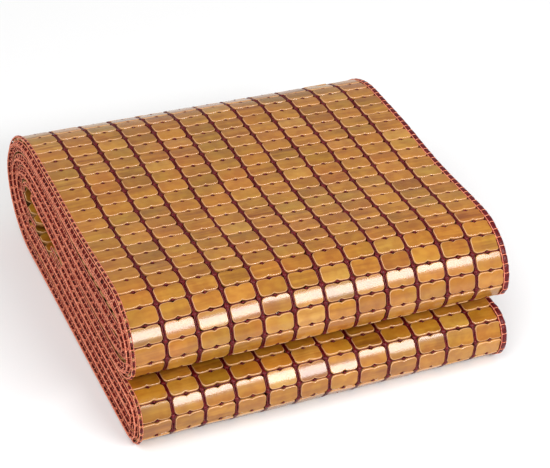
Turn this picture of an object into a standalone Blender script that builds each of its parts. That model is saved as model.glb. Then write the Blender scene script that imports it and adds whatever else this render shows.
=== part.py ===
"""Bed mat of bamboo tiles, folded into a thick bundle.

Four long panels of tile columns lie one on the next, hinged along their long sides by cord nets.
Both short ends are folded in to the middle and the bundle is then folded in half, which gives
sixteen sheets, two noses at the front and one round turn at the back. The tile columns stand side
by side along X, the noses face -Y, +Z is up, and the bundle rests on z = 0. Units are metres.
"""
import math

import bmesh
import bpy

MM = 0.001

# The mat
PANELS = 4
COLUMNS = 12
COLUMN_PITCH = 38.5 * MM
CORD_GAP = 3.5 * MM
SHEET = 5.0 * MM
GROOVE_DEPTH = 1.5 * MM
NET_REACH = 5.0 * MM
NET_THICKNESS = 1.6 * MM
BINDING_WIDTH = 7.0 * MM
CLEARANCE = 0.4 * MM
CORE_GAP = 1.5 * MM

# The folded section: heights above the floor, and places from the top of the upper nose
HEIGHT = 159.0 * MM
CREASE_FRONT = 64.0 * MM
CREASE_REAR = 85.0 * MM
CREASE_GAP = 1.4 * MM
OUTER_SLACK = 7.0 * MM
TURN_CENTRE = 289.0 * MM
TURN_RADIUS = 100.0 * MM
CORE_TURN = 63.0 * MM
UPPER_CORE_FRONT = 106.0 * MM
UPPER_CORE_REAR = 121.0 * MM
LOWER_CORE_FRONT = 32.0 * MM
LOWER_CORE_REAR = 42.0 * MM
EYE_CENTRE = (282.0 * MM, 84.5 * MM)
EYE_RADII = (30.0 * MM, 5.0 * MM)
FLAP_REAR = 235.0 * MM

# The upper nose droops over its front and is drawn in underneath
UPPER_NOSE_HEIGHT = 97.5 * MM
UPPER_NOSE_OVER = 72.0 * MM
UPPER_NOSE_UNDER = 54.0 * MM
UPPER_SLIT = (-38.0 * MM, 112.0 * MM)
UPPER_SLIT_RADIUS = 2.4 * MM
UPPER_SLIT_MOUTH = -16.0 * MM
LOWER_NOSE = -68.0 * MM
LOWER_NOSE_RADIUS = 29.0 * MM
LOWER_SLIT = (2.0 * MM, 1.5 * MM)

# The top sags where it is pressed, and the lower half is drawn in and set askew at its front
DIP_PLACE = 113.0 * MM
DIP_REACH = 112.0 * MM
DIP_SHARE = 0.025
DRAWN_IN = 0.012
ASKEW = 0.010

# Where each panel starts and stops, in spokes counted from the tip of the eye
PANEL_SPOKES = {
    "panel_1": {"first": 4.6, "last": 61.2},
    "panel_2": {"first": -0.6, "last": 61.8},
    "panel_3": {"first": -5.4, "last": 61.8},
    "panel_4": {"first": -3.9, "last": 65.3},
}

# Each cord net joins two panels at one end of the bundle
NETS = {
    "hinge_net_left_12": {"side": -1, "upper": "panel_1", "lower": "panel_2"},
    "hinge_net_left_34": {"side": -1, "upper": "panel_3", "lower": "panel_4"},
    "hinge_net_right_23": {"side": 1, "upper": "panel_2", "lower": "panel_3"},
}

# The free long sides are bound with cord
BINDINGS = {"side_binding_1": "panel_1", "side_binding_4": "panel_4"}

# Linear colour and roughness of each kind of piece
FINISHES = {
    "bamboo_tile": {"colour": (0.62, 0.42, 0.19), "roughness": 0.28},
    "maroon_cord": {"colour": (0.33, 0.07, 0.08), "roughness": 0.55},
}

HALF_TILES = COLUMNS * COLUMN_PITCH / 2 - CORD_GAP / 2
SIDE_SHIFT = (NET_REACH - BINDING_WIDTH) / 2
FRONT = LOWER_NOSE - LOWER_NOSE_RADIUS - ASKEW * (HALF_TILES + NET_REACH)
DEPTH_SHIFT = -(FRONT + TURN_CENTRE + TURN_RADIUS) / 2


def eased(share):
    """A share from 0 to 1 that starts and ends level."""
    return (1 - math.cos(math.pi * min(1, max(0, share)))) / 2


def rising(front, rear):
    """A height that rises from the top of the upper nose to the centre of the back turn."""
    return lambda y: front + (rear - front) * eased(y / TURN_CENTRE)


def arc(centre, radii, start, end):
    """A quarter or half ellipse in the section, from one angle to the other."""
    def point(share):
        turn = math.radians(start + (end - start) * share)
        return (centre[0] + radii[0] * math.cos(turn), centre[1] + radii[1] * math.sin(turn))
    return point


def run(start, end):
    """A stretch between two points, level at both ends where they differ in height."""
    def point(share):
        return (start[0] + (end[0] - start[0]) * share,
                start[1] + (end[1] - start[1]) * eased(share))
    return point


def along(start, end, height):
    """A stretch from one place to another at a height that depends on the place."""
    def point(share):
        y = start + (end - start) * share
        return (y, height(y))
    return point


def fold_table():
    """The folds in order from the eye: steps, slack, outer and inner side of the stack."""
    crease = rising(CREASE_FRONT, CREASE_REAR)
    roof = rising(CREASE_FRONT + CREASE_GAP / 2, CREASE_REAR + CREASE_GAP / 2)
    floor = rising(CREASE_FRONT - CREASE_GAP / 2, CREASE_REAR - CREASE_GAP / 2)
    upper_core = rising(UPPER_CORE_FRONT, UPPER_CORE_REAR)
    lower_core = rising(LOWER_CORE_FRONT, LOWER_CORE_REAR)
    core = (TURN_CENTRE, EYE_CENTRE[1])
    over_turn = (CORE_TURN, UPPER_CORE_REAR - core[1])
    under_turn = (CORE_TURN, core[1] - LOWER_CORE_REAR)
    nose_under = UPPER_NOSE_UNDER - UPPER_NOSE_OVER
    slit_mouth = (UPPER_SLIT_MOUTH, UPPER_CORE_FRONT)
    slit_tip = (UPPER_SLIT_RADIUS, UPPER_SLIT_RADIUS)
    slit_low = (UPPER_SLIT[0], UPPER_SLIT[1] - UPPER_SLIT_RADIUS)
    slit_high = (UPPER_SLIT[0], UPPER_SLIT[1] + UPPER_SLIT_RADIUS)
    nose_low = (UPPER_NOSE_UNDER, UPPER_NOSE_HEIGHT - roof(nose_under))
    nose_high = (UPPER_NOSE_OVER, HEIGHT - UPPER_NOSE_HEIGHT)
    lower_centre = (crease(LOWER_NOSE) - CREASE_GAP / 2) / 2
    lower_radii = (LOWER_NOSE_RADIUS, lower_centre)
    slit_foot = lower_centre - LOWER_SLIT[1]
    slit_roof = lower_centre + LOWER_SLIT[1]
    return [
        {"name": "eye_upper", "steps": 5, "slack": (0, 0),
         "outer": arc(EYE_CENTRE, EYE_RADII, 0, 90),
         "core": arc(core, over_turn, 0, 90)},
        {"name": "flap_upper_rear", "steps": 3, "slack": (0, 0),
         "outer": run((EYE_CENTRE[0], EYE_CENTRE[1] + EYE_RADII[1]), (FLAP_REAR, roof(FLAP_REAR))),
         "core": along(TURN_CENTRE, FLAP_REAR, upper_core)},
        {"name": "flap_upper_middle", "steps": 3, "slack": (0, 0),
         "outer": along(FLAP_REAR, 0, roof),
         "core": along(FLAP_REAR, 0, upper_core)},
        {"name": "flap_upper_front", "steps": 2, "slack": (0, 0),
         "outer": along(0, nose_under, roof),
         "core": run((0, UPPER_CORE_FRONT), slit_mouth)},
        {"name": "upper_nose_under", "steps": 3, "slack": (0, 0),
         "outer": arc((nose_under, UPPER_NOSE_HEIGHT), nose_low, 270, 216),
         "core": run(slit_mouth, slit_low)},
        {"name": "upper_nose_low", "steps": 2, "slack": (0, 0),
         "outer": arc((nose_under, UPPER_NOSE_HEIGHT), nose_low, 216, 180),
         "core": arc(UPPER_SLIT, slit_tip, 270, 180)},
        {"name": "upper_nose_high", "steps": 3, "slack": (0, 0),
         "outer": arc((0, UPPER_NOSE_HEIGHT), nose_high, 180, 150),
         "core": arc(UPPER_SLIT, slit_tip, 180, 90)},
        {"name": "upper_nose_over", "steps": 5, "slack": (0, OUTER_SLACK),
         "outer": arc((0, UPPER_NOSE_HEIGHT), nose_high, 150, 90),
         "core": run(slit_high, (0, UPPER_CORE_FRONT))},
        {"name": "top", "steps": 8, "slack": (OUTER_SLACK, OUTER_SLACK),
         "outer": run((0, HEIGHT), (TURN_CENTRE, HEIGHT)),
         "core": along(0, TURN_CENTRE, upper_core)},
        {"name": "back_turn_upper", "steps": 6, "slack": (OUTER_SLACK, 0),
         "outer": arc((TURN_CENTRE, HEIGHT / 2), (TURN_RADIUS, HEIGHT / 2), 90, 0),
         "core": arc(core, over_turn, 90, 0)},
        {"name": "back_turn_lower", "steps": 6, "slack": (0, 0),
         "outer": arc((TURN_CENTRE, HEIGHT / 2), (TURN_RADIUS, HEIGHT / 2), 0, -90),
         "core": arc(core, under_turn, 0, -90)},
        {"name": "bottom", "steps": 4, "slack": (0, 0),
         "outer": run((TURN_CENTRE, 0), (LOWER_NOSE, 0)),
         "core": run((TURN_CENTRE, LOWER_CORE_REAR), (LOWER_NOSE, slit_foot))},
        {"name": "lower_nose", "steps": 8, "slack": (0, 0),
         "outer": arc((LOWER_NOSE, lower_centre), lower_radii, 270, 90),
         "core": arc((LOWER_NOSE, lower_centre), LOWER_SLIT, 270, 90)},
        {"name": "flap_lower", "steps": 4, "slack": (0, 0),
         "outer": along(LOWER_NOSE, FLAP_REAR, floor),
         "core": along(LOWER_NOSE, FLAP_REAR, lower_core)},
        {"name": "flap_lower_rear", "steps": 3, "slack": (0, 0),
         "outer": run((FLAP_REAR, floor(FLAP_REAR)), (EYE_CENTRE[0], EYE_CENTRE[1] - EYE_RADII[1])),
         "core": along(FLAP_REAR, TURN_CENTRE, lower_core)},
        {"name": "eye_lower", "steps": 5, "slack": (0, 0),
         "outer": arc(EYE_CENTRE, EYE_RADII, -90, 0),
         "core": arc(core, under_turn, -90, 0)},
    ]


def settle(point):
    """Let the whole bundle sag a little where its top is lowest, more the higher a sheet lies."""
    reach = min(1.0, abs(point[0] - DIP_PLACE) / DIP_REACH)
    return (point[0], point[1] * (1 - DIP_SHARE * eased(1 - reach)))


def spokes():
    """Every spoke of the closed section: its outer end, its inner end, slack, and lower or upper."""
    table = []
    lower = False
    for fold in fold_table():
        lower = lower or fold["name"] == "bottom"
        for step in range(fold["steps"]):
            share = step / fold["steps"]
            slack = fold["slack"][0] + (fold["slack"][1] - fold["slack"][0]) * share
            table.append({"outer": settle(fold["outer"](share)),
                          "core": settle(fold["core"](share)),
                          "slack": slack, "lower": lower})
    return table


SPOKES = spokes()


def at_depth(spoke, layer, offset):
    """The point of a spoke at a layer's middle plus a distance further in."""
    outer, core = spoke["outer"], spoke["core"]
    length = math.dist(outer, core)
    pitch = (length - SHEET - CORE_GAP - spoke["slack"]) / (PANELS - 1)
    depth = SHEET / 2 + layer * pitch + spoke["slack"] * min(layer, 1) + offset
    share = depth / length
    return (outer[0] + (core[0] - outer[0]) * share, outer[1] + (core[1] - outer[1]) * share)


def between(first, last, share):
    """The point part of the way from one point to the other."""
    return tuple(a + (b - a) * share for a, b in zip(first, last))


def stretch_of(first, last, place):
    """The points that one line of a piece takes along its stretch of the section."""
    def at(number):
        return place(SPOKES[number % len(SPOKES)])
    start = math.floor(first)
    stop = math.ceil(last)
    points = [between(at(start), at(start + 1), first - start)]
    points += [at(number) for number in range(start + 1, stop)]
    points.append(between(at(stop - 1), at(stop), last - stop + 1))
    return points


def pull_of(first, last):
    """How far each point of a stretch shares in the pull on the lower half: none, up to all."""
    def share(spoke):
        reach = (TURN_CENTRE - spoke["outer"][0]) / (TURN_CENTRE - LOWER_NOSE)
        return (min(1, max(0, reach)) if spoke["lower"] else 0,)
    return [value[0] for value in stretch_of(first, last, share)]


def placed(x, y, z, pull):
    """A point of the section at a place across the width, in the mat's own frame."""
    left = -HALF_TILES - NET_REACH
    drawn = left + (x - left) * (1 - DRAWN_IN * pull)
    return (drawn + SIDE_SHIFT, y + ASKEW * x * pull + DEPTH_SHIFT, z)


def inward_normals(points):
    """The unit direction into the stack at each point of a line."""
    normals = []
    for index in range(len(points)):
        before = points[max(0, index - 1)]
        after = points[min(len(points) - 1, index + 1)]
        length = math.dist(before, after)
        normals.append(((after[1] - before[1]) / length, -(after[0] - before[0]) / length))
    return normals


def sweep(name, rings, finish):
    """Extrude a section face from ring to ring and close it into one body."""
    mesh = bpy.data.meshes.new(name)
    bm = bmesh.new()
    corner = bm.verts.layers.int.new("corner")
    first = [bm.verts.new(place) for place in rings[0]]
    for number, vert in enumerate(first):
        vert[corner] = number
    face = bm.faces.new(first)
    inner = []
    for ring in rings[1:]:
        grown = bmesh.ops.extrude_face_region(bm, geom=[face])
        inner.append(face)
        for item in grown["geom"]:
            if isinstance(item, bmesh.types.BMVert):
                item.co = ring[item[corner]]
            if isinstance(item, bmesh.types.BMFace):
                face = item
    bmesh.ops.delete(bm, geom=inner[1:], context="FACES_ONLY")
    bmesh.ops.recalc_face_normals(bm, faces=bm.faces)
    bm.to_mesh(mesh)
    bm.free()
    mesh.shade_smooth()
    mesh.set_sharp_from_angle(angle=math.radians(40))
    mesh.materials.append(finish)
    piece = bpy.data.objects.new(name, mesh)
    bpy.context.scene.collection.objects.link(piece)
    return piece


def panel_outline(grooved):
    """Corners of a panel across its width: place along X, and side of the sheet with its depth."""
    corners = [(-HALF_TILES, -SHEET / 2)]
    if grooved:
        for column in range(1, COLUMNS):
            middle = (column - COLUMNS / 2) * COLUMN_PITCH
            corners.append((middle - CORD_GAP / 2, -SHEET / 2))
            corners.append((middle, GROOVE_DEPTH - SHEET / 2))
            corners.append((middle + CORD_GAP / 2, -SHEET / 2))
    corners += [(HALF_TILES, -SHEET / 2), (HALF_TILES, SHEET / 2), (-HALF_TILES, SHEET / 2)]
    return corners


def sheet_rings(outline, layer, first, last):
    """Rings of a flat sheet whose corners stand off the layer's middle line."""
    line = stretch_of(first, last, lambda spoke: at_depth(spoke, layer, 0))
    rings = []
    for (y, z), (ny, nz), pull in zip(line, inward_normals(line), pull_of(first, last)):
        rings.append([placed(x, y + ny * off, z + nz * off, pull) for x, off in outline])
    return rings


def layer_of(panel):
    """The place of a panel in the stack, from 0 for the outermost."""
    return list(PANEL_SPOKES).index(panel)


def make_panel(name, finish):
    """One panel of tile columns, grooved between the columns where its face shows."""
    ends = PANEL_SPOKES[name]
    layer = layer_of(name)
    rings = sheet_rings(panel_outline(layer == 0), layer, ends["first"], ends["last"])
    return sweep(name, rings, finish)


def make_binding(name, finish):
    """The bound edge along the free side of a panel."""
    panel = BINDINGS[name]
    ends = PANEL_SPOKES[panel]
    near = HALF_TILES + CLEARANCE
    far = HALF_TILES + BINDING_WIDTH
    outline = [(near, -SHEET / 2), (far, -SHEET / 2), (far, SHEET / 2), (near, SHEET / 2)]
    rings = sheet_rings(outline, layer_of(panel), ends["first"], ends["last"])
    return sweep(name, rings, finish)


def make_net(name, finish):
    """The cord net that bulges from the edge of one panel round to the edge of the next."""
    data = NETS[name]
    edge = SHEET / 2 - CLEARANCE
    skin = NET_THICKNESS
    corners = [
        {"out": CLEARANCE, "layer": 0, "offset": -edge},
        {"out": NET_REACH, "layer": 0, "offset": 0},
        {"out": NET_REACH, "layer": 1, "offset": 0},
        {"out": CLEARANCE, "layer": 1, "offset": edge},
        {"out": CLEARANCE, "layer": 1, "offset": edge - skin},
        {"out": NET_REACH - skin, "layer": 1, "offset": -skin / 2},
        {"out": NET_REACH - skin, "layer": 0, "offset": skin / 2},
        {"out": CLEARANCE, "layer": 0, "offset": skin - edge},
    ]
    ends = [PANEL_SPOKES[data["upper"]], PANEL_SPOKES[data["lower"]]]
    first = max(end["first"] for end in ends)
    last = min(end["last"] for end in ends)
    pulls = pull_of(first, last)
    lines = []
    for corner in corners:
        layer = layer_of(data["upper"]) + corner["layer"]
        offset = corner["offset"]
        line = stretch_of(first, last, lambda spoke: at_depth(spoke, layer, offset))
        x = data["side"] * (HALF_TILES + corner["out"])
        lines.append([placed(x, y, z, pull) for (y, z), pull in zip(line, pulls)])
    return sweep(name, [list(ring) for ring in zip(*lines)], finish)


def make_finish(name):
    """A plain finish of one colour and gloss."""
    finish = bpy.data.materials.new(name)
    finish.use_nodes = True
    shader = finish.node_tree.nodes["Principled BSDF"]
    shader.inputs["Base Color"].default_value = (*FINISHES[name]["colour"], 1)
    shader.inputs["Roughness"].default_value = FINISHES[name]["roughness"]
    shader.inputs["Metallic"].default_value = 0
    return finish


def build():
    """Clear the scene and make every piece of the mat."""
    for item in list(bpy.data.objects):
        bpy.data.objects.remove(item)
    bamboo = make_finish("bamboo_tile")
    cord = make_finish("maroon_cord")
    for name in PANEL_SPOKES:
        make_panel(name, bamboo)
    for name in NETS:
        make_net(name, cord)
    for name in BINDINGS:
        make_binding(name, cord)


build()
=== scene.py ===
import math

import bmesh
import bpy
import numpy as np
from mathutils import Matrix, Vector


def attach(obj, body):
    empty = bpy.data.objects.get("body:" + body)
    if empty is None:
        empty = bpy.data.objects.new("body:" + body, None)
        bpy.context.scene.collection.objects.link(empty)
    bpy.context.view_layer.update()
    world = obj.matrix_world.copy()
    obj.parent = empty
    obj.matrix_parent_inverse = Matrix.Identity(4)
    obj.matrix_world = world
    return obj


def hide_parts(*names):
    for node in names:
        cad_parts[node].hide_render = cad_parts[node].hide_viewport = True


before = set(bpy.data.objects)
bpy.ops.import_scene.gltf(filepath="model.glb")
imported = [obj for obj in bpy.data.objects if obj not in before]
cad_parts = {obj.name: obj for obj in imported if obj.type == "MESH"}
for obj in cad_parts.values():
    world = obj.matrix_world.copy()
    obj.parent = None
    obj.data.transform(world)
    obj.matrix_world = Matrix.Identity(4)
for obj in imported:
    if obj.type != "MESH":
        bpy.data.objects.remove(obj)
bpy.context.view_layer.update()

# The folded panels. The mat is made of four long panels, laid one on the next, with both short
# ends folded in to the middle and the bundle then folded in half. Seen from its end, each sheet
# runs at its own depth between the outer face of the stack and its core.
MM = 0.001
HEIGHT = 159.0 * MM
TURN_CENTRE = 289.0 * MM
TURN_RADIUS = 100.0 * MM
LOWER_NOSE = -68.0 * MM
LOWER_NOSE_RADIUS = 29.0 * MM


def eased(share):
    """A share from 0 to 1 that starts and ends level."""
    return (1 - math.cos(math.pi * min(1, max(0, share)))) / 2


def rising(front, rear):
    """A height that climbs from the front of the bundle to the middle of its rear turn."""
    return lambda y: front + (rear - front) * eased(y / TURN_CENTRE)


def arc(centre, radii, start, end):
    """Part of an oval, between two angles."""
    def point(share):
        turn = math.radians(start + (end - start) * share)
        return (centre[0] + radii[0] * math.cos(turn), centre[1] + radii[1] * math.sin(turn))
    return point


def run(start, end):
    """A sheet lying between two points, level at both."""
    def point(share):
        return (start[0] + (end[0] - start[0]) * share,
                start[1] + (end[1] - start[1]) * eased(share))
    return point


def along(start, end, height):
    """A sheet lying at a given height between two depths."""
    def point(share):
        y = start + (end - start) * share
        return (y, height(y))
    return point


CREASE_FRONT = 64.0 * MM
CREASE_REAR = 85.0 * MM
CREASE_GAP = 1.4 * MM
OUTER_SLACK = 7.0 * MM
CORE_TURN = 63.0 * MM
UPPER_CORE_FRONT = 106.0 * MM
UPPER_CORE_REAR = 121.0 * MM
LOWER_CORE_FRONT = 32.0 * MM
LOWER_CORE_REAR = 42.0 * MM
EYE_CENTRE = (282.0 * MM, 84.5 * MM)
EYE_RADII = (30.0 * MM, 5.0 * MM)
FLAP_REAR = 235.0 * MM
UPPER_NOSE_HEIGHT = 97.5 * MM
UPPER_NOSE_OVER = 72.0 * MM
UPPER_NOSE_UNDER = 54.0 * MM
UPPER_SLIT = (-38.0 * MM, 112.0 * MM)
UPPER_SLIT_RADIUS = 2.4 * MM
UPPER_SLIT_MOUTH = -16.0 * MM
LOWER_SLIT = (2.0 * MM, 1.5 * MM)


def fold_table():
    """The folds in order from the eye: steps, slack at both ends, outer and core side."""
    roof = rising(CREASE_FRONT + CREASE_GAP / 2, CREASE_REAR + CREASE_GAP / 2)
    floor = rising(CREASE_FRONT - CREASE_GAP / 2, CREASE_REAR - CREASE_GAP / 2)
    upper_core = rising(UPPER_CORE_FRONT, UPPER_CORE_REAR)
    lower_core = rising(LOWER_CORE_FRONT, LOWER_CORE_REAR)
    core = (TURN_CENTRE, EYE_CENTRE[1])
    over_turn = (CORE_TURN, UPPER_CORE_REAR - core[1])
    under_turn = (CORE_TURN, core[1] - LOWER_CORE_REAR)
    nose_under = UPPER_NOSE_UNDER - UPPER_NOSE_OVER
    slit_mouth = (UPPER_SLIT_MOUTH, UPPER_CORE_FRONT)
    slit_tip = (UPPER_SLIT_RADIUS, UPPER_SLIT_RADIUS)
    slit_low = (UPPER_SLIT[0], UPPER_SLIT[1] - UPPER_SLIT_RADIUS)
    slit_high = (UPPER_SLIT[0], UPPER_SLIT[1] + UPPER_SLIT_RADIUS)
    nose_low = (UPPER_NOSE_UNDER, UPPER_NOSE_HEIGHT - roof(nose_under))
    nose_high = (UPPER_NOSE_OVER, HEIGHT - UPPER_NOSE_HEIGHT)
    low = floor(LOWER_NOSE) / 2
    slack = OUTER_SLACK
    upper, under = (0, UPPER_NOSE_HEIGHT), (nose_under, UPPER_NOSE_HEIGHT)
    turn, big = (TURN_CENTRE, HEIGHT / 2), (TURN_RADIUS, HEIGHT / 2)
    return [
        (5, 0, 0, arc(EYE_CENTRE, EYE_RADII, 0, 90), arc(core, over_turn, 0, 90)),
        (3, 0, 0, run((EYE_CENTRE[0], EYE_CENTRE[1] + EYE_RADII[1]),
                      (FLAP_REAR, roof(FLAP_REAR))),
         along(TURN_CENTRE, FLAP_REAR, upper_core)),
        (3, 0, 0, along(FLAP_REAR, 0, roof), along(FLAP_REAR, 0, upper_core)),
        (2, 0, 0, along(0, nose_under, roof), run((0, UPPER_CORE_FRONT), slit_mouth)),
        (3, 0, 0, arc(under, nose_low, 270, 216), run(slit_mouth, slit_low)),
        (2, 0, 0, arc(under, nose_low, 216, 180), arc(UPPER_SLIT, slit_tip, 270, 180)),
        (3, 0, 0, arc(upper, nose_high, 180, 150), arc(UPPER_SLIT, slit_tip, 180, 90)),
        (5, 0, slack, arc(upper, nose_high, 150, 90), run(slit_high, (0, UPPER_CORE_FRONT))),
        (8, slack, slack, run((0, HEIGHT), (TURN_CENTRE, HEIGHT)),
         along(0, TURN_CENTRE, upper_core)),
        (6, slack, 0, arc(turn, big, 90, 0), arc(core, over_turn, 90, 0)),
        (6, 0, 0, arc(turn, big, 0, -90), arc(core, under_turn, 0, -90)),
        (4, 0, 0, run((TURN_CENTRE, 0), (LOWER_NOSE, 0)),
         run((TURN_CENTRE, LOWER_CORE_REAR), (LOWER_NOSE, low - LOWER_SLIT[1]))),
        (8, 0, 0, arc((LOWER_NOSE, low), (LOWER_NOSE_RADIUS, low), 270, 90),
         arc((LOWER_NOSE, low), LOWER_SLIT, 270, 90)),
        (4, 0, 0, along(LOWER_NOSE, FLAP_REAR, floor), along(LOWER_NOSE, FLAP_REAR, lower_core)),
        (3, 0, 0, run((FLAP_REAR, floor(FLAP_REAR)),
                      (EYE_CENTRE[0], EYE_CENTRE[1] - EYE_RADII[1])),
         along(FLAP_REAR, TURN_CENTRE, lower_core)),
        (5, 0, 0, arc(EYE_CENTRE, EYE_RADII, -90, 0), arc(core, under_turn, -90, 0)),
    ]


FOLDS = fold_table()
SPOKES = sum(fold[0] for fold in FOLDS)
LOWER_FOLD = 11
DIP_PLACE = 113.0 * MM
DIP_REACH = 112.0 * MM
DIP_SHARE = 0.025


def settle(point):
    """The bundle sags a little where its top is pressed."""
    reach = min(1.0, abs(point[0] - DIP_PLACE) / DIP_REACH)
    return (point[0], point[1] * (1 - DIP_SHARE * eased(1 - reach)))


def spoke_at(number):
    """Outer end, inner end, slack and pull of any spoke, counted round the section."""
    number %= SPOKES
    for index, (steps, first, last, outer, core) in enumerate(FOLDS):
        if number < steps:
            break
        number -= steps
    share = number / steps
    reach = (TURN_CENTRE - outer(share)[0]) / (TURN_CENTRE - LOWER_NOSE)
    pull = min(1, max(0, reach)) if index >= LOWER_FOLD else 0
    return settle(outer(share)), settle(core(share)), first + (last - first) * share, pull


FINE = np.arange(-8 * 12, SPOKES * 12 + 1) / 12
TABLE = np.array([np.hstack(spoke_at(number)) for number in FINE])
PANELS = 4
SHEET = 5.0 * MM
CORE_GAP = 1.5 * MM


def section(number, layer, offset):
    """Points of the section at a layer's middle plus a distance further in, and their pull."""
    outer_y, outer_z, core_y, core_z, slack, pull = [np.interp(number, FINE, column)
                                                     for column in TABLE.T]
    length = np.hypot(core_y - outer_y, core_z - outer_z)
    pitch = (length - SHEET - CORE_GAP - slack) / (PANELS - 1)
    share = (SHEET / 2 + layer * pitch + slack * np.minimum(layer, 1) + offset) / length
    return outer_y + (core_y - outer_y) * share, outer_z + (core_z - outer_z) * share, pull


PANEL_SPOKES = {"panel_1": (4.6, 61.2), "panel_2": (-0.6, 61.8),
                "panel_3": (-5.4, 61.8), "panel_4": (-3.9, 65.3)}


def sheet_line(panel, spare=0.35, fine=12):
    """The middle line of a panel in the section: arc length, y, z, inward normal and pull."""
    first, last = PANEL_SPOKES[panel]
    numbers = np.linspace(first - spare, last + spare, int((last - first + 2 * spare) * fine) + 1)
    y, z, pull = section(numbers, list(PANEL_SPOKES).index(panel), 0)
    reach = np.concatenate([[0], np.cumsum(np.hypot(np.diff(y), np.diff(z)))])
    reach -= np.interp(first, numbers, reach)
    dy, dz = np.gradient(y, reach), np.gradient(z, reach)
    size = np.hypot(dy, dz)
    return {"number": numbers, "reach": reach, "y": y, "z": z, "ny": dz / size, "nz": -dy / size,
            "pull": pull}


def on_line(line, reach, key):
    return np.interp(reach, line["reach"], line[key])


COLUMNS = 12
COLUMN_PITCH = 38.5 * MM
CORD_GAP = 3.5 * MM
HALF_TILES = COLUMNS * COLUMN_PITCH / 2 - CORD_GAP / 2
NET_REACH = 5.0 * MM
BINDING_WIDTH = 7.0 * MM
SIDE_SHIFT = (NET_REACH - BINDING_WIDTH) / 2
DRAWN_IN = 0.012
ASKEW = 0.010
FRONT = LOWER_NOSE - LOWER_NOSE_RADIUS - ASKEW * (HALF_TILES + NET_REACH)
DEPTH_SHIFT = -(FRONT + TURN_CENTRE + TURN_RADIUS) / 2


def placed(x, y, z, pull):
    """Points of the section at places across the width, in the mat's own frame."""
    left = -HALF_TILES - NET_REACH
    drawn = left + (x - left) * (1 - DRAWN_IN * pull)
    return np.stack([drawn + SIDE_SHIFT, y + ASKEW * x * pull + DEPTH_SHIFT, z], axis=-1)


def laid(line, x, reach, lift):
    """Points across the width, along the panel and lifted off its middle towards its face."""
    pull = on_line(line, reach, "pull")
    y = on_line(line, reach, "y") - on_line(line, reach, "ny") * lift
    z = on_line(line, reach, "z") - on_line(line, reach, "nz") * lift
    return placed(x, y, z, pull)


# Varnished bamboo. Each tile is a strip of the culm wall, cut, rounded, bleached and varnished:
# a glossy honey-coloured face with fine fibres along it, green and orange clouds, and edges
# painted paler as a highlight along the lit rims.
def linear(colour):
    """An sRGB hex colour in linear light."""
    parts = [int(colour[place:place + 2], 16) / 255 for place in (1, 3, 5)]
    return tuple(v / 12.92 if v <= 0.04045 else ((v + 0.055) / 1.055) ** 2.4 for v in parts) + (1,)


def node(material, kind, links=(), **settings):
    """Add a node: settings that are sockets are filled in, the others are its own."""
    made = material.node_tree.nodes.new(kind)
    for name, value in settings.items():
        if hasattr(made, name):
            setattr(made, name, value)
    for name, value in settings.items():
        if not hasattr(made, name):
            made.inputs[name.replace("_", " ")].default_value = value
    for socket, source in dict(links).items():
        material.node_tree.links.new(source, made.inputs[socket])
    return made


def new_material(name, roughness, **sockets):
    material = bpy.data.materials.new(name)
    material.use_nodes = True
    shader = material.node_tree.nodes["Principled BSDF"]
    shader.inputs["Roughness"].default_value = roughness
    for socket, value in sockets.items():
        shader.inputs[socket.replace("_", " ")].default_value = value
    return material, shader


def ramp(material, source, stops):
    made = node(material, "ShaderNodeValToRGB", {"Fac": source})
    for extra in stops[2:]:
        made.color_ramp.elements.new(extra[0])
    for element, (place, colour) in zip(made.color_ramp.elements, stops):
        element.position = place
        element.color = linear(colour)
    return made.outputs["Color"]


CROWN = 1.8 * MM


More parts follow.
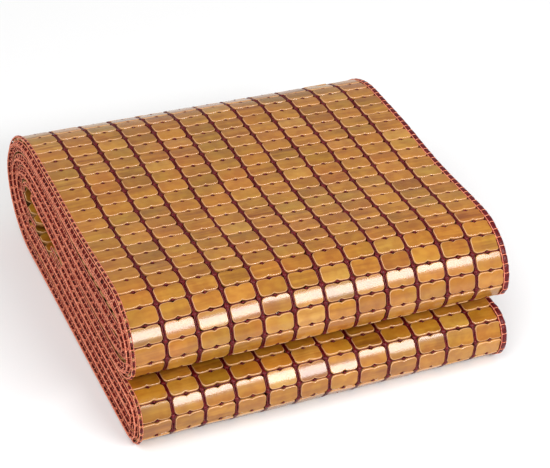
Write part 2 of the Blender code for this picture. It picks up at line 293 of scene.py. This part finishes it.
def bamboo_material():
    """Varnish over bamboo: a clear wet-looking coat, so a window shows as a band on each tile.

    The grain map counts in 10 mm. Real fibres are 0.3 mm apart, too fine to show here, so
    they are drawn as streaks 6 mm apart; clouds are about 90 mm and specks 14 mm across.
    Each face is a little domed across its fibres, 0.45 mm in the middle (a quarter of CROWN),
    and that dome is drawn by the shading.
    """
    material, shader = new_material("varnished_bamboo", 0.45, Coat_Weight=0.8, Coat_Roughness=0.12,
                                    IOR=1.45, Specular_IOR_Level=0.2)
    grain = node(material, "ShaderNodeUVMap", uv_map="grain").outputs["UV"]
    tone_and_rim_highlight = node(material, "ShaderNodeAttribute", attribute_name="tone_and_rim_highlight", attribute_type="GEOMETRY")
    split = node(material, "ShaderNodeSeparateColor", {"Color": tone_and_rim_highlight.outputs["Color"]})
    stretch = node(material, "ShaderNodeMapping", {"Vector": grain})
    stretch.inputs["Scale"].default_value = (0.12, 1.6, 1.0)
    fibre = node(material, "ShaderNodeTexNoise", {"Vector": stretch.outputs["Vector"]},
                 Scale=1.0, Detail=3.0, Roughness=0.6)
    cloud = node(material, "ShaderNodeTexNoise", {"Vector": grain}, Scale=0.11, Detail=2.0)
    speck = node(material, "ShaderNodeTexNoise", {"Vector": grain}, Scale=0.7, Detail=2.0)
    honey = ramp(material, split.outputs["Red"],
                 [(0.0, "#8c5612"), (0.35, "#aa701c"), (0.7, "#ba8228"), (1.0, "#caa050")])
    clouds = ramp(material, cloud.outputs["Fac"],
                  [(0.34, "#8c6e1c"), (0.5, "#ac7222"), (0.68, "#bc6e26")])
    face = node(material, "ShaderNodeMix", {"A": honey, "B": clouds}, data_type="RGBA")
    face.inputs["Factor"].default_value = 0.4
    streak = ramp(material, fibre.outputs["Fac"], [(0.3, "#b08a5a"), (0.62, "#ffffff")])
    veined = node(material, "ShaderNodeMix", {"A": face.outputs["Result"], "B": streak},
                  data_type="RGBA", blend_type="MULTIPLY")
    material.node_tree.links.new(split.outputs["Green"], veined.inputs["Factor"])
    spots = ramp(material, speck.outputs["Fac"], [(0.4, "#d8b890"), (0.6, "#ffffff")])
    spotted = node(material, "ShaderNodeMix", {"A": veined.outputs["Result"], "B": spots},
                   data_type="RGBA", blend_type="MULTIPLY")
    spotted.inputs["Factor"].default_value = 0.45
    # Bevels and sides are mixed towards a pale cream: painted highlight along the lit tile edges.
    rim_highlight = node(material, "ShaderNodeMix", {"Factor": split.outputs["Blue"],
                                           "A": spotted.outputs["Result"]}, data_type="RGBA")
    rim_highlight.inputs["B"].default_value = linear("#dca878")
    local = node(material, "ShaderNodeUVMap", uv_map="across_tile").outputs["UV"]
    parts = node(material, "ShaderNodeSeparateXYZ", {"Vector": local})
    crown = node(material, "ShaderNodeMath", {0: parts.outputs["Y"], 1: parts.outputs["Y"]},
                 operation="MULTIPLY")
    domed = node(material, "ShaderNodeBump", {"Height": crown.outputs[0]}, invert=True,
                 Strength=1.0, Distance=CROWN)
    bump = node(material, "ShaderNodeBump", {"Height": fibre.outputs["Fac"],
                                             "Normal": domed.outputs["Normal"]}, Strength=0.08,
                Distance=0.0004)
    material.node_tree.links.new(rim_highlight.outputs["Result"], shader.inputs["Base Color"])
    material.node_tree.links.new(bump.outputs["Normal"], shader.inputs["Normal"])
    material.node_tree.links.new(bump.outputs["Normal"], shader.inputs["Coat Normal"])
    return material


BAMBOO = bamboo_material()
ROW_PITCH = 21.0 * MM
ROWS = 82
TILE_PITCH = 38.3 * MM
TILE_SHIFT = 1.9 * MM
ROW_BOW = 4.0 * MM
TILE_WIDTH = 34.0 * MM
TILE_LENGTH = 19.8 * MM
NOTCH = (7.0 * MM, 1.9 * MM)
NOTCH_SHOULDER = 2.2 * MM
EDGE_EXTRA = 3.0 * MM
TILE_CORNER = 4.8 * MM
TILE_RIM = 0.75 * MM
FIRST_SEAM = 98.0 * MM
TIGHT_BOW = 2.5 * MM


def column_place(column):
    """Middle of a tile column, counted from 0 at the left."""
    return (column - (COLUMNS - 1) / 2) * TILE_PITCH + TILE_SHIFT


def bowed(x):
    """How far the rows sag towards the noses at a place across the width."""
    return ROW_BOW * (x / HALF_TILES) ** 2


def tile_blank(corner_steps, rim_steps):
    """One tile: a rounded plate with a small V cut in the middle of each long edge."""
    bm = bmesh.new()
    wide, long = TILE_WIDTH / 2, TILE_LENGTH / 2
    half, depth = NOTCH[0] / 2, NOTCH[1]
    corners = [(-wide, -long), (-half, -long), (0, depth - long), (half, -long), (wide, -long),
               (wide, long), (half, long), (0, long - depth), (-half, long), (-wide, long)]
    verts = [bm.verts.new((x, y, -SHEET / 2)) for x, y in corners]
    bm.faces.new(verts)
    shoulders = [verts[index] for index in (1, 3, 6, 8)]
    outer = [verts[index] for index in (0, 4, 5, 9)]
    for rounded, offset, steps in ((outer, TILE_CORNER, corner_steps),
                                   (shoulders, NOTCH_SHOULDER, corner_steps - 1)):
        if steps:
            bmesh.ops.bevel(bm, geom=rounded, offset=offset, segments=steps, profile=0.5,
                            material=-1, affect="VERTICES")
    bottom = max(bm.faces, key=lambda face: face.calc_area())
    grown = bmesh.ops.extrude_face_region(bm, geom=[bottom])
    top = [item for item in grown["geom"] if isinstance(item, bmesh.types.BMFace)][0]
    bmesh.ops.translate(bm, vec=(0, 0, SHEET), verts=top.verts)
    bmesh.ops.bevel(bm, geom=list(top.edges), offset=TILE_RIM, segments=rim_steps, profile=0.5,
                    material=-1, affect="EDGES")
    bmesh.ops.recalc_face_normals(bm, faces=bm.faces)
    mesh = bpy.data.meshes.new("tile_blank")
    bm.to_mesh(mesh)
    bm.free()
    return mesh


def arrays_of(mesh):
    """A blank's points, the sizes and corners of its faces, and its face normals."""
    points = np.array([vert.co[:] for vert in mesh.vertices])
    sizes = np.array([len(face.vertices) for face in mesh.polygons])
    corners = np.concatenate([np.array(face.vertices[:]) for face in mesh.polygons])
    normals = np.array([face.normal[:] for face in mesh.polygons])
    return points, sizes, corners, normals


def joined(name, points, sizes, corners, material, smooth=None):
    """One mesh of many copies of a blank: points holds a block of places for each copy."""
    copies, each = points.shape[:2]
    points = points.copy()
    points[..., 2] = np.maximum(points[..., 2], 0)
    mesh = bpy.data.meshes.new(name)
    mesh.vertices.add(copies * each)
    mesh.vertices.foreach_set("co", points.reshape(-1))
    mesh.loops.add(copies * len(corners))
    shift = np.arange(copies)[:, None] * each
    mesh.loops.foreach_set("vertex_index", (corners[None, :] + shift).reshape(-1).astype(np.int32))
    starts = np.concatenate([[0], np.cumsum(sizes)[:-1]])
    shift = np.arange(copies)[:, None] * len(corners)
    mesh.polygons.add(copies * len(sizes))
    mesh.polygons.foreach_set("loop_start", (starts[None, :] + shift).reshape(-1).astype(np.int32))
    if smooth is not None:
        mesh.polygons.foreach_set("use_smooth", np.tile(smooth, copies))
    mesh.update(calc_edges=True)
    mesh.validate()
    mesh.materials.append(material)
    piece = bpy.data.objects.new(name, mesh)
    bpy.context.scene.collection.objects.link(piece)
    return piece


def seam_start(line):
    """Where the row seams of the outermost panel stand, found from the top of its front nose."""
    numbers = np.linspace(13, 27, 14 * 24 + 1)
    outer = np.array([spoke_at(number)[0] for number in numbers])
    reach = np.concatenate([[0], np.cumsum(np.hypot(*np.diff(outer, axis=0).T))])
    number = np.interp(FIRST_SEAM, reach, numbers)
    spot = spoke_at(number)[0]
    near = np.argmin(np.hypot(line["y"] - spot[0], line["z"] - spot[1]))
    return line["reach"][near] % ROW_PITCH


LINES = {panel: sheet_line(panel) for panel in PANEL_SPOKES}
SEAM_START = {panel: 0.0 for panel in PANEL_SPOKES}
SEAM_START["panel_1"] = seam_start(LINES["panel_1"])
if SEAM_START["panel_1"] > ROW_PITCH / 2:
    SEAM_START["panel_1"] -= ROW_PITCH


def make_tiles(panel, blank, seed):
    """All tiles of a panel as one mesh, each a little out of true in place, turn and tilt.

    A tile stays flat between its ends, save in the tight inner folds, where it is bent.
    """
    draw = np.random.default_rng(seed)
    line = LINES[panel]
    points, sizes, corners, normals = arrays_of(blank)
    rows, columns = np.meshgrid(np.arange(ROWS), np.arange(COLUMNS), indexing="ij")
    rows, columns = rows.reshape(-1), columns.reshape(-1)
    count = len(rows)
    centre = SEAM_START[panel] + (rows + 0.5) * ROW_PITCH
    middle = column_place(columns) + draw.normal(0, 0.3 * MM, count)
    drift = np.cumsum(draw.normal(0, 0.12 * MM, (ROWS, COLUMNS)), axis=0)
    drift -= drift.mean(axis=0)
    centre = centre + drift.reshape(-1) + draw.normal(0, 0.15 * MM, count) - bowed(middle)
    turn = draw.normal(0, 0.010, count) + 2 * ROW_BOW * middle / HALF_TILES ** 2
    pitch = draw.normal(0, 0.022, count)
    pitch = pitch + draw.choice([0, 0.07, -0.07], count, p=[0.92, 0.04, 0.04])
    roll = draw.normal(0, 0.012, count)
    reach_out = EDGE_EXTRA * np.outer(columns == 0, np.clip(-2 * points[:, 0] / TILE_WIDTH, 0, 1))
    x = points[None, :, 0] - reach_out + points[None, :, 1] * turn[:, None]
    y = points[None, :, 1] - points[None, :, 0] * turn[:, None]
    lift = points[None, :, 2] + y * pitch[:, None] + x * roll[:, None]
    half = TILE_LENGTH / 2
    ends = [laid(line, middle, centre + side * half, 0 * centre) for side in (-1, 1)]
    spot = (ends[0] + ends[1]) / 2
    ahead = ends[1] - ends[0]
    ahead /= np.linalg.norm(ahead, axis=1)[:, None]
    across = (laid(line, middle + MM, centre, 0 * centre)
              - laid(line, middle - MM, centre, 0 * centre))
    across /= np.linalg.norm(across, axis=1)[:, None]
    out = np.cross(across, ahead)
    out /= np.linalg.norm(out, axis=1)[:, None]
    rigid = (spot[:, None, :] + across[:, None, :] * x[..., None] + ahead[:, None, :] * y[..., None]
             + out[:, None, :] * lift[..., None])
    bent = laid(line, middle[:, None] + x, centre[:, None] + y, lift)
    straight = laid(line, middle, centre, 0 * centre)
    sagitta = np.linalg.norm(straight - spot, axis=1)
    tight = sagitta > TIGHT_BOW
    places = np.where(tight[:, None, None], bent, rigid)
    piece = joined(panel + "_tiles", places, sizes, corners, BAMBOO, np.abs(normals[:, 2]) < 0.98)
    mesh = piece.data
    u = (points[corners, 0][None, :] + columns[:, None] * 60 * MM) / (10 * MM)
    v = (points[corners, 1][None, :] + rows[:, None] * 40 * MM) / (10 * MM)
    layer = mesh.uv_layers.new(name="grain")
    layer.data.foreach_set("uv", np.stack([u, v], axis=-1).reshape(-1))
    local = np.tile(points[corners, :2] / (TILE_WIDTH, TILE_LENGTH), (count, 1))
    layer = mesh.uv_layers.new(name="across_tile")
    layer.data.foreach_set("uv", local.reshape(-1))
    warm = np.clip(draw.normal(0.5, 0.2, count), 0, 1)
    streaky = np.clip(draw.normal(0.4, 0.2, count), 0.05, 1)
    # The blue channel marks the bevels (0.7) and the sides and bottom (0.25) for the pale rim
    # colour: painted highlight along the tile edges.
    edge = np.repeat(np.where(np.abs(normals[:, 2]) > 0.98, 0.0, 0.7), sizes)
    edge[np.repeat(normals[:, 2] < 0.2, sizes)] = 0.25
    tone_and_rim_highlight = np.ones((count, len(corners), 4))
    tone_and_rim_highlight[..., 0] = warm[:, None]
    tone_and_rim_highlight[..., 1] = streaky[:, None]
    tone_and_rim_highlight[..., 2] = edge[None, :]
    attribute = mesh.color_attributes.new("tone_and_rim_highlight", "FLOAT_COLOR", "CORNER")
    attribute.data.foreach_set("color", tone_and_rim_highlight.reshape(-1))
    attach(piece, "root")
    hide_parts(panel)
    return piece


face_tile = tile_blank(3, 1)
inner_tile = tile_blank(1, 1)
for number, panel in enumerate(PANEL_SPOKES):
    make_tiles(panel, face_tile if number == 0 else inner_tile, 11 + number)


# The stringing. Twisted dark red polyester cord runs in pairs between the tile columns and is
# knotted at every row; a thinner run lies in each row seam and is tied in the notches.
def cord_material(name, dark, light, roughness, scale=900):
    """Twisted cord: painted shade darkens it between its strands, which are 0.3 mm and drawn 1.1 mm
    apart.
    """
    material, shader = new_material(name, roughness, Specular_IOR_Level=0.25)
    place = node(material, "ShaderNodeTexCoord").outputs["Object"]
    strand = node(material, "ShaderNodeTexNoise", {"Vector": place}, Scale=scale, Detail=2.0)
    # Low spots of the strand noise get the dark colour: painted shade in the grooves between
    # strands.
    colour = ramp(material, strand.outputs["Fac"], [(0.35, dark), (0.65, light)])
    bump = node(material, "ShaderNodeBump", {"Height": strand.outputs["Fac"]}, Strength=0.5,
                Distance=0.0003)
    material.node_tree.links.new(colour, shader.inputs["Base Color"])
    material.node_tree.links.new(bump.outputs["Normal"], shader.inputs["Normal"])
    return material


# Maroon polyester has a low silky gleam on its strands; salmon thread is duller and much paler,
# its palest peach streaks being painted sheen on the thread; the red knit behind it is matt, and
# its loops are drawn 2 mm apart.
MAROON = cord_material("maroon_polyester_cord", "#300306", "#741218", 0.35)
# Salmon-red thread with pale peach streaks: the streaks are painted sheen.
SALMON_WITH_SHEEN = cord_material("salmon_thread_painted_sheen", "#bc4c34", "#fca886", 0.6)
RED = cord_material("red_knitted_cloth", "#260403", "#781408", 0.8, 500)
CORD_RADIUS = 0.95 * MM
CORD_SPREAD = 1.25 * MM
KNOT = (3.6 * MM, 3.6 * MM, 2.0 * MM)
NOTCH_KNOT = (2.3 * MM, 1.5 * MM, 1.5 * MM)


def cords(name, lines, radius, resolution, material):
    """Round cords along many lines of points, as one mesh."""
    curve = bpy.data.curves.new(name, "CURVE")
    curve.dimensions = "3D"
    curve.bevel_depth = radius
    curve.bevel_resolution = resolution
    curve.use_fill_caps = True
    for line in lines:
        spline = curve.splines.new("POLY")
        spline.points.add(len(line) - 1)
        spline.points.foreach_set("co", np.column_stack([line, np.ones(len(line))]).reshape(-1))
    holder = bpy.data.objects.new(name, curve)
    mesh = bpy.data.meshes.new_from_object(holder)
    bpy.data.objects.remove(holder)
    bpy.data.curves.remove(curve)
    mesh.name = name
    for vert in mesh.vertices:
        vert.co.z = max(vert.co.z, 0)
    mesh.materials.clear()
    mesh.materials.append(material)
    mesh.shade_smooth()
    piece = bpy.data.objects.new(name, mesh)
    bpy.context.scene.collection.objects.link(piece)
    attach(piece, "root")
    return piece


def bead_blank(sizes, round_steps, high_steps):
    """One knot, as a small rounded bead."""
    bm = bmesh.new()
    bmesh.ops.create_uvsphere(bm, u_segments=round_steps, v_segments=high_steps, radius=1)
    bmesh.ops.scale(bm, vec=sizes, verts=bm.verts)
    mesh = bpy.data.meshes.new("bead_blank")
    bm.to_mesh(mesh)
    bm.free()
    return mesh


def beads(name, blank, line, x, reach, lift, material, seed=3, loose=0.08):
    """Copies of a small knot set along a panel, each a little different in size and turn."""
    draw = np.random.default_rng(seed)
    points, sizes, corners, _ = arrays_of(blank)
    count = len(x)
    size = draw.normal(1, loose, (count, 1, 3)).clip(0.7, 1.3)
    turn = draw.normal(0, 2 * loose, count)[:, None]
    local = points[None] * size
    dx = local[..., 0] * np.cos(turn) - local[..., 1] * np.sin(turn)
    dy = local[..., 0] * np.sin(turn) + local[..., 1] * np.cos(turn)
    places = laid(line, x[:, None] + dx, reach[:, None] + dy, lift + local[..., 2])
    piece = joined(name, places, sizes, corners, material, np.ones(len(sizes), bool))
    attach(piece, "root")
    return piece


def rows_of(panel, step=ROW_PITCH):
    """Places of the row seams along a panel, or of even parts of them."""
    return SEAM_START[panel] + np.arange(0, ROWS * ROW_PITCH + step / 2, step)


def gap_places():
    """Middles of the gaps between the tile columns."""
    return column_place(np.arange(1, COLUMNS) - 0.5)


line = LINES["panel_1"]
seams = rows_of("panel_1")
fine_reach = rows_of("panel_1", ROW_PITCH / 4)
weave = np.abs(np.cos(np.pi * (fine_reach - seams[0]) / ROW_PITCH)) ** 3
lines = []
for x in gap_places():
    for side in (-1, 1):
        spread = side * CORD_SPREAD * (1 - 0.55 * weave)
        lines.append(laid(line, x + spread, fine_reach - bowed(x), 0.6 * MM + 0.6 * MM * weave))
across = np.linspace(column_place(-0.5), column_place(COLUMNS - 0.5), 2 * COLUMNS + 1)
for seam in seams:
    lines.append(laid(line, across, seam - bowed(across), np.full(len(across), -0.3 * MM)))
cords("panel_1_cords", lines, CORD_RADIUS, 1, MAROON)
gap_x, gap_reach = [grid.reshape(-1) for grid in np.meshgrid(gap_places(), seams)]
gap_reach = gap_reach - bowed(gap_x)
beads("panel_1_knots", bead_blank(KNOT, 8, 4), line, gap_x, gap_reach, 0.7 * MM, MAROON)
middles = column_place(np.arange(COLUMNS))
tie_x, tie_reach = [grid.reshape(-1) for grid in np.meshgrid(middles, seams)]
tie_reach = tie_reach - bowed(tie_x)
beads("panel_1_ties", bead_blank(NOTCH_KNOT, 6, 3), line, tie_x, tie_reach, 1.2 * MM, MAROON, 5)
lines = []
for panel in ("panel_2", "panel_3", "panel_4"):
    reach = rows_of(panel, ROW_PITCH / 2)
    for x in gap_places():
        lines.append(laid(LINES[panel], np.full(len(reach), x), reach, 0 * reach))
cords("inner_cords", lines, 1.5 * MM, 0, MAROON)


# The edges and hinges. The long sides of the panels are laced with salmon thread over the tile
# ends, and a knitted strip joins each panel to the next, so that the mat folds there.
EDGE_CORD = 0.5 * MM
EDGE_OUT = 0.9 * MM
EDGE_LIFT = 2.5 * MM


def edge_line(numbers, side, layer, offset, out):
    """Points that follow the edge of a panel, or the gap between two, at one end of the mat."""
    y, z, pull = section(numbers, layer, offset)
    return placed(side * (HALF_TILES + out) + 0 * y, y, z, pull)


def swept_strip(name, numbers, side, profile, material):
    """A thin strip whose section stays the same from spoke to spoke."""
    rings = np.stack([edge_line(numbers, side, *corner) for corner in profile], axis=1)
    bm = bmesh.new()
    corner_id = bm.verts.layers.int.new("corner")
    first = [bm.verts.new(place) for place in rings[0]]
    for index, vert in enumerate(first):
        vert[corner_id] = index
    face = bm.faces.new(first)
    inner = []
    for ring in rings[1:]:
        grown = bmesh.ops.extrude_face_region(bm, geom=[face])
        inner.append(face)
        for item in grown["geom"]:
            if isinstance(item, bmesh.types.BMVert):
                item.co = ring[item[corner_id]]
            if isinstance(item, bmesh.types.BMFace):
                face = item
    bmesh.ops.delete(bm, geom=inner[1:], context="FACES_ONLY")
    bmesh.ops.recalc_face_normals(bm, faces=bm.faces)
    mesh = bpy.data.meshes.new(name)
    bm.to_mesh(mesh)
    bm.free()
    mesh.materials.append(material)
    piece = bpy.data.objects.new(name, mesh)
    bpy.context.scene.collection.objects.link(piece)
    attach(piece, "root")
    return piece


def numbers_of(panel, step):
    """The spokes that stand at even steps along the edge of a panel."""
    line = LINES[panel]
    return np.interp(rows_of(panel, step) - ROW_BOW, line["reach"], line["number"])


RUNG = [(-EDGE_LIFT, 0.9 * MM), (-1.2 * MM, 1.7 * MM), (1.2 * MM, 1.7 * MM), (EDGE_LIFT, 0.9 * MM)]
lacing = []
rungs = []
for layer, panel in enumerate(PANEL_SPOKES):
    numbers = numbers_of(panel, ROW_PITCH / 2)
    for side in (-1, 1):
        if side == 1 and panel in ("panel_1", "panel_4"):
            continue
        for offset in (-EDGE_LIFT, EDGE_LIFT):
            lacing.append(edge_line(numbers, side, layer, offset, EDGE_OUT))
        for number in numbers[:: 2 if layer == 0 else 1]:
            rungs.append(np.concatenate([edge_line(np.array([number]), side, layer, offset, out)
                                         for offset, out in RUNG]))
cords("edge_lacing", lacing, EDGE_CORD, 1, SALMON_WITH_SHEEN)
cords("edge_rungs", rungs, 0.5 * MM, 0, SALMON_WITH_SHEEN)
line = LINES["panel_1"]
half_rows = rows_of("panel_1", ROW_PITCH / 2) - ROW_BOW
middle = half_rows[:-1] + ROW_PITCH / 4
braid = beads("edge_braid", bead_blank((1.7 * MM, 3.6 * MM, 1.3 * MM), 6, 4), line,
              np.full(len(middle), 0.9 * MM - HALF_TILES), middle, 2.9 * MM, MAROON, 9)
ties = []
for spot in half_rows:
    x = np.array([3.0, 1.6, 0.2, -1.0]) * MM - HALF_TILES
    ties.append(laid(line, x, np.full(4, spot), np.array([2.4, 4.0, 3.8, 1.6]) * MM))
for x, lift in ((2.9 * MM, 2.8 * MM), (-0.9 * MM, 2.9 * MM)):
    ties.append(laid(line, np.full(len(half_rows), x - HALF_TILES), half_rows, lift))
cords("edge_braid_thread", ties, 0.45 * MM, 0, SALMON_WITH_SHEEN)
for layer, panel in enumerate(PANEL_SPOKES):
    numbers = numbers_of(panel, ROW_PITCH / 2)
    for side in (-1, 1):
        if layer == 0 or (side == 1 and panel == "panel_4"):
            continue
        swept_strip(f"{panel}_edge_tape_{'left' if side < 0 else 'right'}", numbers, side,
                    [(layer, -2.3 * MM, 0.4 * MM), (layer, -2.3 * MM, 1.1 * MM),
                     (layer, 2.3 * MM, 1.1 * MM), (layer, 2.3 * MM, 0.4 * MM)], RED)

NETS = {"hinge_net_left_12": (-1, 0), "hinge_net_left_34": (-1, 2), "hinge_net_right_23": (1, 1)}
NET_OUT = 4.2 * MM
for name, (side, upper) in NETS.items():
    panels = list(PANEL_SPOKES)
    first = max(PANEL_SPOKES[panels[upper]][0], PANEL_SPOKES[panels[upper + 1]][0])
    last = min(PANEL_SPOKES[panels[upper]][1], PANEL_SPOKES[panels[upper + 1]][1])
    numbers = numbers_of(panels[upper], ROW_PITCH / 2)
    numbers = numbers[(numbers > first) & (numbers < last)]
    lower = upper + 1
    profile = [(upper, EDGE_LIFT, EDGE_OUT), (upper + 0.3, 1 * MM, NET_OUT),
               (upper + 0.5, 0, NET_OUT + 0.5 * MM), (upper + 0.7, -1 * MM, NET_OUT),
               (lower, -EDGE_LIFT, EDGE_OUT)]
    lines = [edge_line(numbers, side, *corner) for corner in profile[1:4]]
    for index, number in enumerate(numbers):
        lines.append(np.concatenate([edge_line(np.array([number]), side, *corner)
                                     for corner in profile]))
        if index + 1 < len(numbers):
            ahead = np.linspace(number, numbers[index + 1], len(profile))
            back = ahead[::-1]
            way = ahead if index % 2 else back
            lines.append(np.concatenate([edge_line(way[[step]], side, *corner)
                                         for step, corner in enumerate(profile)]))
    net = cords(name + "_knit", lines, 0.42 * MM, 0, SALMON_WITH_SHEEN)
    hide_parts(name)
    skin = 0.8 * MM
    inner = [(layer, offset, out - 1.2 * MM if out > EDGE_OUT else 0.5 * MM)
             for layer, offset, out in profile]
    far = [(layer, offset, out - skin if out > 0.6 * MM else 0.1 * MM)
           for layer, offset, out in inner][::-1]
    swept_strip(name + "_cloth", numbers, side, inner + far, RED)


# The bound long sides. The free sides of the first and last panel are wrapped with dark red cord
# in puffed stitches, two to a row, with a pale thread pulled tight between them.
STITCH = ROW_PITCH / 2


def pad_blank():
    """One puffed stitch: a soft-cornered block of wrapped cord."""
    bm = bmesh.new()
    bmesh.ops.create_cube(bm, size=2)
    bmesh.ops.scale(bm, vec=(3.4 * MM, 4.9 * MM, 2.8 * MM), verts=bm.verts)
    bmesh.ops.bevel(bm, geom=list(bm.edges), offset=1.5 * MM, segments=2, profile=0.5, material=-1,
                    affect="EDGES")
    mesh = bpy.data.meshes.new("pad_blank")
    bm.to_mesh(mesh)
    bm.free()
    return mesh


for name, panel in {"side_binding_1": "panel_1", "side_binding_4": "panel_4"}.items():
    line = LINES[panel]
    reach = rows_of(panel, STITCH)
    middle = reach[:-1] + STITCH / 2
    centre = HALF_TILES + BINDING_WIDTH / 2
    pads = beads(name + "_pads", pad_blank(), line, np.full(len(middle), centre), middle, 0,
                 MAROON, 7, 0.04)
    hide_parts(name)
    layer = list(PANEL_SPOKES).index(panel)
    numbers = np.interp(reach, line["reach"], line["number"])
    swept_strip(name + "_core", numbers, 1,
                [(layer, -2 * MM, -1.6 * MM), (layer, -2 * MM, 6 * MM),
                 (layer, 2 * MM, 6 * MM), (layer, 2 * MM, -1.6 * MM)], RED)
    wraps = []
    for spot in reach:
        x = centre + np.array([-3.8, -2.6, 0, 2.6, 3.4, 2.6, 0]) * MM
        lift = np.array([1.2, 2.5, 2.9, 2.5, 0, -2.5, -2.9]) * MM
        wraps.append(laid(line, x, np.full(7, spot), lift))
    wraps.append(laid(line, np.full(len(reach), centre - 3.5 * MM), reach, 2.3 * MM))
    cords(name + "_thread", wraps, 0.55 * MM, 0, SALMON_WITH_SHEEN)

# The room: a pale floor, soft even light from all round, and the camera where the photo was
# taken from.
world = bpy.data.worlds.new("studio")
bpy.context.scene.world = world
world.use_nodes = True
world.node_tree.nodes["Background"].inputs["Color"].default_value = linear("#ffffff")
world.node_tree.nodes["Background"].inputs["Strength"].default_value = 0.5
bpy.context.scene.view_settings.view_transform = "Standard"


def new_light(name, place, aim, size, power):
    """A soft box of light, aimed at a point."""
    lamp = bpy.data.lights.new(name, "AREA")
    lamp.shape = "RECTANGLE"
    lamp.size, lamp.size_y = size
    lamp.energy = power
    holder = bpy.data.objects.new(name, lamp)
    holder.location = place
    holder.rotation_euler = (Vector(aim) - Vector(place)).to_track_quat("-Z", "Y").to_euler()
    bpy.context.scene.collection.objects.link(holder)
    return holder


# The low window in front gives the bright band on the noses; the wide softbox lights the rest.
new_light("window", (0.46, -1.37, 1.10), (0.0, -0.20, 0.135), (1.1, 0.30), 20)
sun = bpy.data.lights.new("softbox", "SUN")
sun.energy = 1.85
sun.angle = math.radians(60)
holder = bpy.data.objects.new("softbox", sun)
holder.rotation_euler = Vector((0.75, 0.25, -1.0)).to_track_quat("-Z", "Y").to_euler()
bpy.context.scene.collection.objects.link(holder)

floor_mesh = bpy.data.meshes.new("floor")
bm = bmesh.new()
bmesh.ops.create_grid(bm, x_segments=1, y_segments=1, size=6.0)
bm.to_mesh(floor_mesh)
bm.free()
floor = bpy.data.objects.new("floor", floor_mesh)
bpy.context.scene.collection.objects.link(floor)
# Plain matt paper: it takes the shadow and shows no gloss.
paper, paper_shader = new_material("matt_white_paper", 0.9)
paper_shader.inputs["Base Color"].default_value = linear("#f3f3f3")
floor_mesh.materials.append(paper)

camera_data = bpy.data.cameras.new("camera")
camera_data.lens = 116.565
camera_data.sensor_width = 36.0
camera = bpy.data.objects.new("camera", camera_data)
right = Vector((0.91523, -0.39873, 0.05801))
up = Vector((0.18553, 0.54483, 0.81777))
back = Vector((-0.35767, -0.73768, 0.57262))
turn = Matrix((right, up, back)).transposed().to_4x4()
camera.matrix_world = Matrix.Translation((-0.747715, -1.609687, 1.322192)) @ turn
bpy.context.scene.collection.objects.link(camera)
bpy.context.scene.camera = camera
